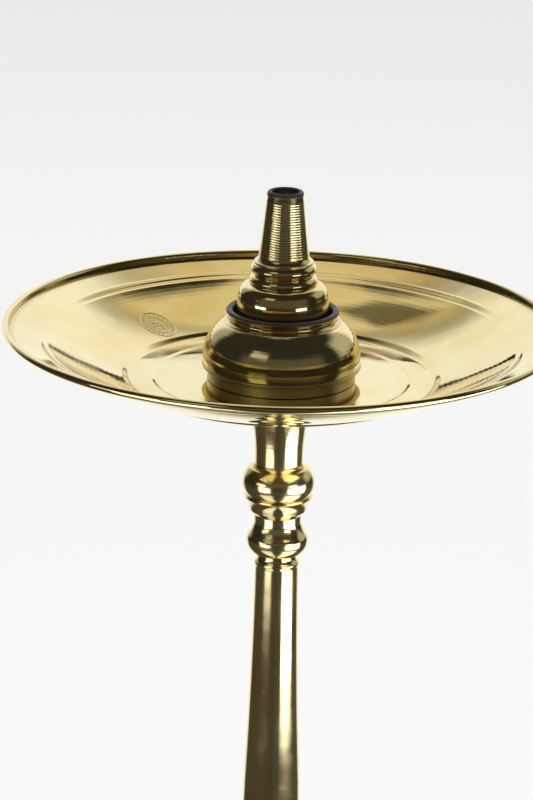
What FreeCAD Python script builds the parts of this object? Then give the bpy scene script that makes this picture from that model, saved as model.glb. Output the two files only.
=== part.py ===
import FreeCAD, Part
import Sketcher
import math
import os
from types import SimpleNamespace

# Brass hookah (water pipe): a glass vase, a turned brass stem and an ash tray, with the head on top.
# Millimetres, +Z up, the stem on the Z axis, the vase standing on Z = 0.

DIMENSIONS = {
    # the rim of the tray above the table: every other level is a rise or a drop from it
    "rim_level": 630.0,
    "sheet": 1.2,                 # spun brass sheet
    "play": 0.3,                  # gap round a piece that turns or lifts
    "seat_gap": 0.2,              # gap under the head, where it stands on the tray
    # smoke tube, from the stub inside the head down to the heart
    "smoke_bore": 4.8,
    "tube_radius": 6.0,
    "stub_drop": 1.0,
    # bowl port: the ridged, tapered nozzle on top, and its shank
    "port_bore": 5.6,
    "port_rim_rise": 56.6,
    "port_rim_round": 0.95,
    "port_tip_radius": 7.4,
    "port_grip_top_rise": 53.6,
    "port_grip_top_radius": 7.8,
    "port_grip_low_rise": 30.6,
    "port_grip_low_radius": 10.3,
    "port_ridge": 0.18,
    "port_foot_rise": 27.2,
    "port_foot_radius": 12.2,
    "port_foot_edge": 0.7,
    "port_foot_cove": 3.2,
    "shank_radius": 7.0,
    # bead, drum and bell under the bowl port
    "bead_low_rise": 22.3,
    "bead_end_radius": 12.0,
    "bead_round": 2.8,
    "drum_low_rise": 18.6,
    "drum_radius": 14.0,
    "drum_round": 2.6,
    "bell_neck_radius": 14.1,
    "bell_shoulder_rise": 14.6,
    "bell_shoulder_radius": 18.2,
    "bell_shoulder_round": 4.6,
    "bell_radius": 18.9,
    "bell_belly_rise": 9.7,
    "bell_belly_round": 14.0,
    "bell_foot_rise": 1.0,
    "bell_foot_radius": 18.4,
    # lip cup that the bell stands in
    "lip_rise": 6.7,
    "lip_outer_radius": 23.2,
    "lip_inner_radius": 20.5,
    "lip_round": 1.4,
    "lip_cove": 1.8,
    "cup_floor": 1.5,
    # squat bulb under the lip
    "bulb_top_rise": 2.5,
    "bulb_top_radius": 24.2,
    "bulb_radius": 32.4,
    "bulb_belly_drop": 12.0,
    "bulb_upper_round": 16.9,
    "bulb_low_radius": 32.0,
    "bulb_low_drop": 15.6,
    "bulb_lower_round": 16.0,
    "base_radius": 32.6,
    "base_low_drop": 16.9,
    "head_foot_radius": 30.5,
    "base_round": 0.7,
    "bush_radius": 10.5,
    # ash tray
    "tray_radius": 115.0,
    "tray_bead": 1.5,
    "tray_hole": 6.5,
    "marli_outer_radius": 112.0,
    "marli_outer_drop": 1.3,
    "marli_inner_radius": 101.0,
    "marli_inner_drop": 4.6,
    "step_radius": 98.6,
    "step_drop": 5.5,
    "step_round": 5.0,
    "floor_outer_radius": 96.2,
    "floor_outer_drop": 6.4,
    "wall_round": 105.0,
    "wall_low_radius": 65.6,
    "wall_low_drop": 20.0,
    "crease_radius": 63.9,
    "crease_drop": 21.1,
    "crease_round": 3.0,
    "ring_outer_radius": 62.0,
    "ring_outer_drop": 21.6,
    "ring_inner_radius": 53.6,
    "well_radius": 52.2,
    "well_drop": 22.0,
    # washer and trumpet-shaped seat under the tray
    "washer_thickness": 1.4,
    "washer_radius": 18.5,
    "seat_radius": 20.0,
    "seat_edge": 1.2,
    "seat_cove": 11.0,
    "seat_low_radius": 12.9,
    "seat_low_drop": 34.0,
    # slender collar
    "collar_low_radius": 10.1,
    "collar_low_drop": 58.6,
    "collar_cove": 107.0,
    # round bulb of the stem
    "knop_neck_cove": 3.2,
    "knop_shoulder_radius": 12.4,
    "knop_shoulder_drop": 60.6,
    "knop_round": 9.0,
    "knop_low_radius": 13.2,
    "knop_low_drop": 72.9,
    # saucer ring
    "saucer_lip_radius": 14.4,
    "saucer_lip_drop": 73.3,
    "saucer_cove": 8.0,
    "saucer_waist_radius": 12.4,
    "saucer_waist_drop": 77.4,
    "saucer_bevel_radius": 12.1,
    "saucer_bevel_drop": 79.0,
    "saucer_low_radius": 10.0,
    "saucer_low_drop": 81.3,
    # baluster
    "baluster_neck_drop": 84.6,
    "baluster_cove": 13.0,
    "baluster_hip_radius": 12.2,
    "baluster_hip_drop": 89.8,
    "baluster_radius": 13.0,
    "baluster_belly_drop": 92.6,
    "baluster_upper_round": 4.0,
    "baluster_lower_round": 6.6,
    "baluster_low_radius": 8.0,
    "baluster_low_drop": 99.2,
    # long trumpet-shaped shaft
    "shaft_bore": 7.4,
    "shaft_lip_radius": 9.5,
    "shaft_lip_drop": 102.2,
    "shaft_lip_edge": 0.6,
    "shaft_lip_cove": 3.6,
    "shaft_top_radius": 9.2,
    "shaft_top_drop": 104.0,
    "shaft_upper_cove": 2500.0,
    "shaft_mid_radius": 12.1,
    "shaft_mid_drop": 202.0,
    "shaft_lower_cove": 900.0,
    "shaft_foot_radius": 18.0,
    "shaft_foot_drop": 286.0,
    # ring, heart and foot under the shaft
    "ring_round": 3.7,
    "ring_drop": 293.0,
    "heart_neck_radius": 16.0,
    "heart_radius": 33.0,
    "heart_belly_drop": 318.0,
    "heart_low_drop": 345.0,
    "heart_upper_round": 26.9,
    "heart_lower_round": 29.9,
    "heart_wall": 2.0,
    "heart_top": 3.0,
    "heart_floor": 4.0,
    "heart_inner_top_radius": 17.8,
    "heart_inner_low_radius": 18.9,
    "vent_radius": 2.0,
    "vent_circle": 13.0,
    "foot_bore": 15.2,
    "foot_radius": 17.0,
    "foot_low_drop": 352.0,
    "foot_round": 4.2,
    # locking nut inside the heart
    "nut_radius": 10.0,
    "nut_height": 5.0,
    # ports on the heart, both tilted up from its centre
    "port_tilt": 60.0,
    "port_centre_drop": 320.0,
    "port_inner_end": 27.0,
    "port_collar_low": 33.0,
    "hose_bore": 6.5,
    "hose_tube_radius": 9.0,
    "hose_tip_radius": 8.3,
    "hose_mouth": 72.0,
    "hose_collar_radius": 13.0,
    "hose_collar_height": 4.6,
    "hose_collar_round": 2.5,
    "hose_bead_height": 5.0,
    "hose_bead_round": 2.8,
    # purge valve: body, ball and screw cap
    "purge_hole": 2.4,
    "purge_seat": 35.0,
    "purge_chamber": 4.2,
    "purge_top": 44.0,
    "purge_radius": 6.6,
    "purge_collar_radius": 10.0,
    "purge_collar_height": 3.0,
    "ball_radius": 3.5,
    "cap_low": 36.2,
    "cap_top": 46.6,
    "cap_radius": 9.4,
    "cap_round": 2.4,
    "cap_vent": 1.3,
    "flute_radius": 1.0,
    # cover, plug and rubber grommet at the mouth of the vase
    "cover_neck_radius": 20.2,
    "cover_round": 20.0,
    "cover_shoulder_radius": 33.0,
    "cover_shoulder_drop": 362.0,
    "cover_cove": 22.0,
    "cover_radius": 44.0,
    "cover_low_drop": 377.0,
    "plug_top_radius": 19.8,
    "plug_low_radius": 16.8,
    "plug_low_drop": 396.0,
    "plug_low_bore": 13.5,
    "down_stem_radius": 8.0,
    "down_stem_drop": 600.0,
    "grommet_flange": 2.6,
    "grommet_low_drop": 394.0,
    # glass vase
    "mouth_drop": 376.0,
    "mouth_bore": 23.0,
    "mouth_lip_height": 6.0,
    "neck_radius": 27.5,
    "neck_low_level": 222.0,
    "neck_cove": 117.0,
    "glass_shoulder_radius": 48.0,
    "glass_shoulder_level": 158.0,
    "glass_round": 180.0,
    "glass_radius": 77.0,
    "glass_belly_level": 60.0,
    "glass_heel_round": 185.0,
    "glass_heel_radius": 69.5,
    "glass_heel_level": 7.8,
    "glass_foot_radius": 59.0,
    "glass_foot_round": 11.0,
    "glass_wall": 4.0,
    "glass_floor": 9.0,
}
PORT_RIDGES = 22
CAP_FLUTES = 12
HEART_VENTS = 3
NUT_SIDES = 6


class Size:
    """A size in millimetres and the spreadsheet formula that gives it."""

    def __init__(self, value, formula):
        self.value = value
        self.formula = formula

    def __add__(self, other):
        other = as_size(other)
        return Size(self.value + other.value, f"({self.formula} + {other.formula})")

    def __sub__(self, other):
        other = as_size(other)
        return Size(self.value - other.value, f"({self.formula} - {other.formula})")

    def __mul__(self, factor):
        return Size(self.value * factor, f"{self.formula} * {factor}")


def as_size(number):
    return number if isinstance(number, Size) else Size(float(number), str(number))


def fill_sheet(doc):
    """Write the dimensions into a spreadsheet and return them as Sizes."""
    sheet = doc.addObject("Spreadsheet::Sheet", "Dims")
    sizes = {}
    for row, (alias, value) in enumerate(DIMENSIONS.items(), start=1):
        sheet.set(f"A{row}", alias)
        sheet.set(f"B{row}", str(value))
        sheet.setAlias(f"B{row}", alias)
        sizes[alias] = Size(value, f"Dims.{alias}")
    doc.recompute()
    return SimpleNamespace(**sizes)


doc = FreeCAD.newDocument("hookah")
d = fill_sheet(doc)
ZERO = Size(0.0, "0")
nodes = []


def up(rise):
    """A level above the rim of the tray."""
    return d.rim_level + rise


def down(drop):
    """A level below the rim of the tray."""
    return d.rim_level - drop


# An outline runs anticlockwise with the material on its left: out along the bottom, up the outside,
# in along the top and down the bore. Each entry is the end of one side.
def to(radius, level):
    """A straight side that ends at this radius and level."""
    return as_size(radius), as_size(level), None, 0


def round_to(radius, level, bend):
    """A convex side of this bending radius."""
    return as_size(radius), as_size(level), bend, 1


def cove_to(radius, level, bend):
    """A hollow side of this bending radius."""
    return as_size(radius), as_size(level), bend, -1


def arc_between(start, end, bend, turn):
    """The arc of radius bend from start to end; turn is 1 to the left and -1 to the right."""
    chord = end - start
    left = FreeCAD.Vector(-chord.y, chord.x, 0).normalize()
    rise = math.sqrt(bend ** 2 - (chord.Length / 2) ** 2)
    centre = (start + end) * 0.5 + left * rise * turn
    first, last = (start, end) if turn > 0 else (end, start)
    angles = [math.atan2(point.y - centre.y, point.x - centre.x) for point in (first, last)]
    if angles[1] < angles[0]:
        angles[1] += 2 * math.pi
    return Part.ArcOfCircle(Part.Circle(centre, FreeCAD.Vector(0, 0, 1), bend), *angles)


def pin_point(sketch, side, corner, radius, level):
    """Hold a corner of the outline at its radius and level."""
    if radius.value == 0:
        sketch.addConstraint(Sketcher.Constraint("PointOnObject", side, corner, -2))
    else:
        index = sketch.addConstraint(Sketcher.Constraint("DistanceX", -1, 1, side, corner, radius.value))
        sketch.setExpression(f"Constraints[{index}]", radius.formula)
    if level.value == 0:
        sketch.addConstraint(Sketcher.Constraint("PointOnObject", side, corner, -1))
    else:
        index = sketch.addConstraint(Sketcher.Constraint("DistanceY", -1, 1, side, corner, level.value))
        sketch.setExpression(f"Constraints[{index}]", level.formula)


def origin_plane(body, role):
    return next(feature for feature in body.Origin.OriginFeatures if feature.Role == role)


def turned(label, outline, keep=True):
    """A body turned on a lathe: the closed outline revolved about the Z axis."""
    body = doc.addObject("PartDesign::Body", label)
    body.Label = label
    sketch = body.newObject("Sketcher::SketchObject", f"{label}_outline")
    sketch.AttachmentSupport = [(origin_plane(body, "XZ_Plane"), "")]
    sketch.MapMode = "FlatFace"
    corners = [FreeCAD.Vector(radius.value, level.value, 0) for radius, level, bend, turn in outline]
    ends = []
    for index, (radius, level, bend, turn) in enumerate(outline):
        start, end = corners[index - 1], corners[index]
        if bend is None:
            side = sketch.addGeometry(Part.LineSegment(start, end), False)
        else:
            side = sketch.addGeometry(arc_between(start, end, bend.value, turn), False)
            limit = sketch.addConstraint(Sketcher.Constraint("Radius", side, bend.value))
            sketch.setExpression(f"Constraints[{limit}]", bend.formula)
        ends.append((side, 1, 2) if turn >= 0 else (side, 2, 1))
    for index, (side, first, last) in enumerate(ends):
        before = ends[index - 1]
        sketch.addConstraint(Sketcher.Constraint("Coincident", before[0], before[2], side, first))
        pin_point(sketch, side, last, outline[index][0], outline[index][1])
    revolution = body.newObject("PartDesign::Revolution", f"{label}_turning")
    revolution.Profile = sketch
    revolution.ReferenceAxis = (sketch, ["V_Axis"])
    revolution.Angle = 360.0
    if keep:
        nodes.append(body)
    return body


def cylinder(label, radius, height, level, reach=None, angle=0.0):
    """A plain cylinder for cutting: it stands at a level, out at a reach from the Z axis."""
    tool = doc.addObject("Part::Cylinder", label)
    tool.setExpression("Radius", radius.formula)
    tool.setExpression("Height", height.formula)
    tool.setExpression("Placement.Base.z", level.formula)
    if reach is not None:
        tool.setExpression("Placement.Base.x", f"{reach.formula} * cos({angle} deg)")
        tool.setExpression("Placement.Base.y", f"{reach.formula} * sin({angle} deg)")
    return tool


def ring_of(label, count, radius, height, level, reach):
    """Cylinders spaced evenly round the Z axis, fused into one cutting tool."""
    fused = doc.addObject("Part::MultiFuse", label)
    fused.Shapes = [cylinder(f"{label}_{index + 1}", radius, height, level, reach, index * 360.0 / count)
                    for index in range(count)]
    return fused


def cut(label, base, tools):
    """The base with each tool cut out of it in turn."""
    for index, tool in enumerate(tools, start=1):
        result = doc.addObject("Part::Cut", label if index == len(tools) else f"{label}_cut_{index}")
        result.Base = base
        result.Tool = tool
        base = result
    base.Label = label
    nodes.append(base)
    return base


def tilt(piece, side):
    """Lay a piece along a port of the heart: side 1 leans to +X, side -1 to -X."""
    piece.Placement.Rotation = FreeCAD.Rotation(FreeCAD.Vector(0, side, 0), d.port_tilt.value)
    piece.setExpression("Placement.Rotation.Angle", f"{d.port_tilt.formula} * 1 deg")
    piece.setExpression("Placement.Base.z", down(d.port_centre_drop).formula)


# ---- head: bowl port, bead, drum, bell, lip cup, bulb and its bush ----

def bowl_port():
    grip_rise = d.port_grip_top_rise - d.port_grip_low_rise
    grip_spread = d.port_grip_low_radius - d.port_grip_top_radius
    ridges = []
    for index in range(PORT_RIDGES):
        crest = (index + 0.5) / PORT_RIDGES
        groove = (index + 1) / PORT_RIDGES
        ridges.append(to(d.port_grip_low_radius - grip_spread * crest + d.port_ridge,
                         up(d.port_grip_low_rise + grip_rise * crest)))
        ridges.append(to(d.port_grip_low_radius - grip_spread * groove,
                         up(d.port_grip_low_rise + grip_rise * groove)))
    turned("bowl_port", [
        to(d.port_bore, up(d.bell_foot_rise)),
        to(d.shank_radius, up(d.bell_foot_rise)),
        to(d.shank_radius, up(d.port_foot_rise)),
        to(d.port_foot_radius, up(d.port_foot_rise)),
        to(d.port_foot_radius, up(d.port_foot_rise + d.port_foot_edge)),
        cove_to(d.port_grip_low_radius, up(d.port_grip_low_rise), d.port_foot_cove),
        *ridges,
        to(d.port_tip_radius, up(d.port_rim_rise)),
        round_to(d.port_bore, up(d.port_rim_rise), d.port_rim_round),
    ])


def neck_bead():
    turned("neck_bead", [
        to(d.shank_radius, up(d.bead_low_rise)),
        to(d.bead_end_radius, up(d.bead_low_rise)),
        round_to(d.bead_end_radius, up(d.port_foot_rise), d.bead_round),
        to(d.shank_radius, up(d.port_foot_rise)),
    ])


def neck_drum():
    turned("neck_drum", [
        to(d.shank_radius, up(d.drum_low_rise)),
        to(d.drum_radius, up(d.drum_low_rise)),
        to(d.drum_radius, up(d.drum_low_rise) + d.drum_round * 0.6),
        round_to(d.bead_end_radius, up(d.bead_low_rise), d.drum_round),
        to(d.shank_radius, up(d.bead_low_rise)),
    ])


def port_bell():
    inner_top = up(d.drum_low_rise - d.sheet)
    turned("port_bell", [
        to(d.bell_foot_radius - d.sheet, up(d.bell_foot_rise)),
        to(d.bell_foot_radius, up(d.bell_foot_rise)),
        to(d.bell_radius, up(d.bell_belly_rise)),
        round_to(d.bell_shoulder_radius, up(d.bell_shoulder_rise), d.bell_belly_round),
        round_to(d.bell_neck_radius, up(d.drum_low_rise), d.bell_shoulder_round),
        to(d.shank_radius, up(d.drum_low_rise)),
        to(d.shank_radius, inner_top),
        to(d.bell_neck_radius - d.sheet * 0.6, inner_top),
        to(d.bell_shoulder_radius - d.sheet, up(d.bell_shoulder_rise - d.sheet * 0.6)),
        to(d.bell_radius - d.sheet, up(d.bell_belly_rise)),
    ])


def lip_cup():
    floor = up(d.bell_foot_rise)
    turned("lip_cup", [
        to(d.port_bore, floor - d.cup_floor),
        to(d.bulb_top_radius - d.sheet, floor - d.cup_floor),
        to(d.bulb_top_radius, up(d.bulb_top_rise)),
        cove_to(d.lip_outer_radius - d.sheet * 0.5, up(d.lip_rise - d.sheet), d.lip_cove),
        round_to(d.lip_outer_radius, up(d.lip_rise), d.lip_round),
        round_to(d.lip_inner_radius, up(d.lip_rise), d.lip_round),
        to(d.lip_inner_radius, floor),
        to(d.port_bore, floor),
    ])


def bulb_shell():
    turned("bulb_shell", [
        cove_to(d.bulb_low_radius - d.sheet, down(d.bulb_low_drop), d.bulb_lower_round),
        to(d.bulb_low_radius, down(d.bulb_low_drop)),
        round_to(d.bulb_radius, down(d.bulb_belly_drop), d.bulb_lower_round),
        round_to(d.bulb_top_radius, up(d.bulb_top_rise), d.bulb_upper_round),
        to(d.bulb_top_radius - d.sheet, up(d.bell_foot_rise) - d.cup_floor),
        cove_to(d.bulb_radius - d.sheet, down(d.bulb_belly_drop), d.bulb_upper_round - d.sheet),
    ])


def bulb_base():
    floor = down(d.well_drop - d.seat_gap)
    turned("bulb_base", [
        to(d.tray_hole, floor),
        to(d.head_foot_radius, floor),
        to(d.head_foot_radius, down(d.base_low_drop)),
        to(d.base_radius - d.base_round * 0.5, down(d.base_low_drop)),
        round_to(d.base_radius - d.base_round * 0.5, down(d.bulb_low_drop), d.base_round),
        to(d.tray_hole, down(d.bulb_low_drop)),
    ])


def head_bush():
    turned("head_bush", [
        to(d.tube_radius + d.play, down(d.bulb_low_drop)),
        to(d.bush_radius, down(d.bulb_low_drop)),
        to(d.bush_radius, up(d.bell_foot_rise) - d.cup_floor),
        to(d.tube_radius + d.play, up(d.bell_foot_rise) - d.cup_floor),
    ])


# ---- ash tray ----

def tray():
    bead_axis = d.tray_radius - d.tray_bead
    under = d.sheet
    turned("tray_centre", [
        to(d.tray_hole, down(d.well_drop + under)),
        to(d.well_radius, down(d.well_drop + under)),
        to(d.well_radius, down(d.well_drop)),
        to(d.tray_hole, down(d.well_drop)),
    ])
    turned("tray", [
        to(d.well_radius, down(d.well_drop + under)),
        to(d.ring_outer_radius, down(d.well_drop + under)),
        round_to(d.crease_radius + under * 0.8, down(d.crease_drop + under), d.crease_round + under),
        to(d.wall_low_radius + under * 0.5, down(d.wall_low_drop + under)),
        round_to(d.floor_outer_radius + under * 0.4, down(d.floor_outer_drop + under), d.wall_round),
        round_to(d.step_radius + under * 0.4, down(d.step_drop + under), d.step_round + under),
        cove_to(d.marli_inner_radius + under * 0.3, down(d.marli_inner_drop + under),
                d.step_round - under),
        to(d.marli_outer_radius, down(d.marli_outer_drop + under)),
        to(bead_axis, d.rim_level - d.tray_bead),
        round_to(d.tray_radius, d.rim_level, d.tray_bead),
        round_to(bead_axis, up(d.tray_bead), d.tray_bead),
        round_to(bead_axis - d.tray_bead, d.rim_level, d.tray_bead),
        to(d.marli_outer_radius, down(d.marli_outer_drop)),
        to(d.marli_inner_radius, down(d.marli_inner_drop)),
        round_to(d.step_radius, down(d.step_drop), d.step_round),
        cove_to(d.floor_outer_radius, down(d.floor_outer_drop), d.step_round),
        cove_to(d.wall_low_radius, down(d.wall_low_drop), d.wall_round),
        to(d.crease_radius, down(d.crease_drop)),
        cove_to(d.ring_outer_radius, down(d.ring_outer_drop), d.crease_round),
        to(d.ring_inner_radius, down(d.ring_outer_drop)),
        to(d.well_radius, down(d.well_drop)),
    ])


# ---- stem: washer, seat, collar, knop, saucer, baluster, shaft and the tube inside them ----

def tray_washer():
    top = down(d.well_drop + d.sheet)
    turned("tray_washer", [
        to(d.tube_radius, top - d.washer_thickness),
        to(d.washer_radius, top - d.washer_thickness),
        to(d.washer_radius, top),
        to(d.tube_radius, top),
    ])


def tray_seat():
    top = down(d.well_drop + d.sheet + d.washer_thickness)
    turned("tray_seat", [
        to(d.tube_radius, down(d.seat_low_drop)),
        to(d.seat_low_radius, down(d.seat_low_drop)),
        cove_to(d.seat_radius, top - d.seat_edge, d.seat_cove),
        to(d.seat_radius, top),
        to(d.tube_radius, top),
    ])


def stem_collar():
    turned("stem_collar", [
        to(d.tube_radius, down(d.collar_low_drop)),
        to(d.collar_low_radius, down(d.collar_low_drop)),
        cove_to(d.seat_low_radius, down(d.seat_low_drop), d.collar_cove),
        to(d.tube_radius, down(d.seat_low_drop)),
    ])


def stem_knop():
    turned("stem_knop", [
        to(d.tube_radius, down(d.knop_low_drop)),
        to(d.knop_low_radius, down(d.knop_low_drop)),
        round_to(d.knop_shoulder_radius, down(d.knop_shoulder_drop), d.knop_round),
        cove_to(d.collar_low_radius, down(d.collar_low_drop), d.knop_neck_cove),
        to(d.tube_radius, down(d.collar_low_drop)),
    ])


def saucer_ring():
    turned("saucer_ring", [
        to(d.tube_radius, down(d.saucer_low_drop)),
        to(d.saucer_low_radius, down(d.saucer_low_drop)),
        to(d.saucer_bevel_radius, down(d.saucer_bevel_drop)),
        to(d.saucer_waist_radius, down(d.saucer_waist_drop)),
        cove_to(d.saucer_lip_radius, down(d.saucer_lip_drop), d.saucer_cove),
        to(d.knop_low_radius, down(d.knop_low_drop)),
        to(d.tube_radius, down(d.knop_low_drop)),
    ])


def baluster():
    turned("baluster", [
        to(d.tube_radius, down(d.baluster_low_drop)),
        to(d.baluster_low_radius, down(d.baluster_low_drop)),
        round_to(d.baluster_radius, down(d.baluster_belly_drop), d.baluster_lower_round),
        round_to(d.baluster_hip_radius, down(d.baluster_hip_drop), d.baluster_upper_round),
        cove_to(d.saucer_low_radius, down(d.baluster_neck_drop), d.baluster_cove),
        to(d.saucer_low_radius, down(d.saucer_low_drop)),
        to(d.tube_radius, down(d.saucer_low_drop)),
    ])


def shaft():
    turned("shaft", [
        to(d.shaft_bore, down(d.shaft_foot_drop)),
        to(d.shaft_foot_radius, down(d.shaft_foot_drop)),
        cove_to(d.shaft_mid_radius, down(d.shaft_mid_drop), d.shaft_lower_cove),
        cove_to(d.shaft_top_radius, down(d.shaft_top_drop), d.shaft_upper_cove),
        to(d.shaft_lip_radius, down(d.shaft_lip_drop + d.shaft_lip_edge)),
        to(d.shaft_lip_radius, down(d.shaft_lip_drop)),
        cove_to(d.baluster_low_radius, down(d.baluster_low_drop), d.shaft_lip_cove),
        to(d.shaft_bore, down(d.baluster_low_drop)),
    ])


def smoke_tube():
    turned("smoke_tube", [
        to(d.smoke_bore, down(d.heart_low_drop)),
        to(d.tube_radius, down(d.heart_low_drop)),
        to(d.tube_radius, down(d.stub_drop)),
        to(d.smoke_bore, down(d.stub_drop)),
    ])


def shaft_ring():
    turned("shaft_ring", [
        to(d.tube_radius, down(d.ring_drop)),
        to(d.shaft_foot_radius, down(d.ring_drop)),
        round_to(d.shaft_foot_radius, down(d.shaft_foot_drop), d.ring_round),
        to(d.tube_radius, down(d.shaft_foot_drop)),
    ])


# ---- heart, its two ports and the purge valve ----

def heart():
    inner_belly = d.heart_radius - d.heart_wall
    blank = turned("heart_blank", [
        to(d.tube_radius, down(d.heart_low_drop)),
        to(d.heart_neck_radius, down(d.heart_low_drop)),
        round_to(d.heart_radius, down(d.heart_belly_drop), d.heart_lower_round),
        round_to(d.heart_neck_radius, down(d.ring_drop), d.heart_upper_round),
        to(d.tube_radius, down(d.ring_drop)),
        to(d.tube_radius, down(d.ring_drop + d.heart_top)),
        to(d.heart_inner_top_radius, down(d.ring_drop + d.heart_top)),
        cove_to(inner_belly, down(d.heart_belly_drop), d.heart_upper_round - d.heart_wall),
        cove_to(d.heart_inner_low_radius, down(d.heart_low_drop - d.heart_floor),
                d.heart_lower_round - d.heart_wall),
        to(d.tube_radius, down(d.heart_low_drop - d.heart_floor)),
    ], keep=False)

    hose_hole = cylinder("heart_hose_hole", d.hose_tube_radius, d.hose_mouth, ZERO)
    tilt(hose_hole, 1)
    purge_hole = cylinder("heart_purge_hole", d.purge_radius, d.hose_mouth, ZERO)
    tilt(purge_hole, -1)
    vents = ring_of("heart_vents", HEART_VENTS, d.vent_radius, d.heart_floor * 1.5,
                    down(d.heart_low_drop) - d.heart_floor * 0.25, d.vent_circle)
    cut("heart", blank, [hose_hole, purge_hole, vents])


def heart_nut():
    blank = doc.addObject("Part::Prism", "heart_nut_blank")
    blank.Polygon = NUT_SIDES
    blank.setExpression("Circumradius", d.nut_radius.formula)
    blank.setExpression("Height", d.nut_height.formula)
    floor = down(d.heart_low_drop - d.heart_floor)
    blank.setExpression("Placement.Base.z", floor.formula)
    hole = cylinder("heart_nut_hole", d.tube_radius, d.nut_height * 2, floor - d.nut_height * 0.5)
    cut("heart_nut", blank, [hole])


def heart_foot():
    turned("heart_foot", [
        to(d.foot_bore, down(d.foot_low_drop)),
        to(d.foot_radius, down(d.foot_low_drop)),
        round_to(d.foot_radius, down(d.heart_low_drop), d.foot_round),
        to(d.foot_bore, down(d.heart_low_drop)),
    ])


def hose_port():
    bead_low = d.hose_mouth - d.hose_bead_height
    tube = turned("hose_port", [
        to(d.hose_bore, d.port_inner_end),
        to(d.hose_tube_radius, d.port_inner_end),
        to(d.hose_tube_radius, d.port_collar_low + d.hose_collar_height),
        to(d.hose_tip_radius, bead_low),
        round_to(d.hose_tip_radius, d.hose_mouth, d.hose_bead_round),
        to(d.hose_bore, d.hose_mouth),
    ])
    tilt(tube, 1)
    collar = turned("hose_collar", [
        to(d.hose_tube_radius, d.port_collar_low),
        to(d.hose_collar_radius - d.hose_collar_round * 0.4, d.port_collar_low),
        round_to(d.hose_collar_radius - d.hose_collar_round * 0.4,
                 d.port_collar_low + d.hose_collar_height, d.hose_collar_round),
        to(d.hose_tube_radius, d.port_collar_low + d.hose_collar_height),
    ])
    tilt(collar, 1)


def purge_valve():
    def port_piece(label, bore, radius, low, high):
        piece = turned(label, [to(bore, low), to(radius, low), to(radius, high), to(bore, high)])
        tilt(piece, -1)
    port_piece("purge_body", d.purge_chamber, d.purge_radius, d.port_inner_end, d.purge_top)
    port_piece("purge_seat", d.purge_hole, d.purge_chamber, d.port_collar_low, d.purge_seat)
    port_piece("purge_collar", d.purge_radius, d.purge_collar_radius, d.port_collar_low,
               d.port_collar_low + d.purge_collar_height)

    seated = math.sqrt(d.ball_radius.value ** 2 - d.purge_hole.value ** 2)
    ball_centre = Size(d.purge_seat.value + seated,
                       f"({d.purge_seat.formula}"
                       f" + sqrt({d.ball_radius.formula}^2 - {d.purge_hole.formula}^2))") + d.play * 0.5
    ball = turned("purge_ball", [
        to(ZERO, ball_centre - d.ball_radius),
        round_to(d.ball_radius, ball_centre, d.ball_radius),
        round_to(ZERO, ball_centre + d.ball_radius, d.ball_radius),
    ])
    tilt(ball, -1)

    cap_bore = d.purge_radius + d.play
    cap_inside = d.purge_top + d.play
    blank = turned("purge_cap_blank", [
        to(cap_bore, d.cap_low),
        to(d.cap_radius, d.cap_low),
        to(d.cap_radius, cap_inside),
        to(cap_bore, cap_inside),
    ], keep=False)
    flutes = ring_of("cap_flutes", CAP_FLUTES, d.flute_radius, d.cap_top, ZERO,
                     d.cap_radius + d.flute_radius * 0.4)
    tilt(cut("purge_cap", blank, [flutes]), -1)
    top = turned("purge_cap_top", [
        to(d.cap_vent, cap_inside),
        to(d.cap_radius - d.flute_radius * 0.6, cap_inside),
        round_to(d.cap_radius - d.cap_round, d.cap_top, d.cap_round),
        to(d.cap_vent, d.cap_top),
    ])
    tilt(top, -1)


# ---- cover, plug, grommet, down stem and vase ----

def vase_cover():
    turned("vase_cover", [
        round_to(d.cover_radius - d.sheet, down(d.cover_low_drop), d.cover_cove),
        to(d.cover_radius, down(d.cover_low_drop)),
        cove_to(d.cover_shoulder_radius, down(d.cover_shoulder_drop), d.cover_cove),
        round_to(d.cover_neck_radius, down(d.foot_low_drop), d.cover_round),
        to(d.foot_bore, down(d.foot_low_drop)),
        to(d.foot_bore, down(d.foot_low_drop + d.sheet)),
        to(d.cover_neck_radius, down(d.foot_low_drop + d.sheet)),
        cove_to(d.cover_shoulder_radius - d.sheet, down(d.cover_shoulder_drop + d.sheet * 0.7),
                d.cover_round),
    ])


def plug_cone():
    turned("plug_cone", [
        to(d.plug_low_bore, down(d.plug_low_drop)),
        to(d.plug_low_radius, down(d.plug_low_drop)),
        to(d.plug_top_radius, down(d.foot_low_drop + d.sheet)),
        to(d.foot_bore, down(d.foot_low_drop + d.sheet)),
    ])


def down_stem():
    turned("down_stem", [
        to(d.smoke_bore, down(d.down_stem_drop)),
        to(d.down_stem_radius, down(d.down_stem_drop)),
        to(d.down_stem_radius, down(d.heart_low_drop)),
        to(d.smoke_bore, down(d.heart_low_drop)),
    ])


def vase_grommet():
    plug_length = d.plug_low_drop - (d.foot_low_drop + d.sheet)
    taper = (d.plug_top_radius.value - d.plug_low_radius.value) / plug_length.value

    def beside_plug(drop):
        gap = d.play * 1.2
        return d.plug_low_radius + (d.plug_low_drop - drop) * round(taper, 5) + gap
    mouth = d.mouth_drop
    turned("vase_grommet", [
        to(beside_plug(d.grommet_low_drop), down(d.grommet_low_drop)),
        to(d.mouth_bore, down(d.grommet_low_drop)),
        to(d.mouth_bore, down(mouth)),
        to(d.neck_radius, down(mouth)),
        to(d.neck_radius, down(mouth - d.grommet_flange)),
        to(beside_plug(mouth - d.grommet_flange), down(mouth - d.grommet_flange)),
    ])


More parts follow.
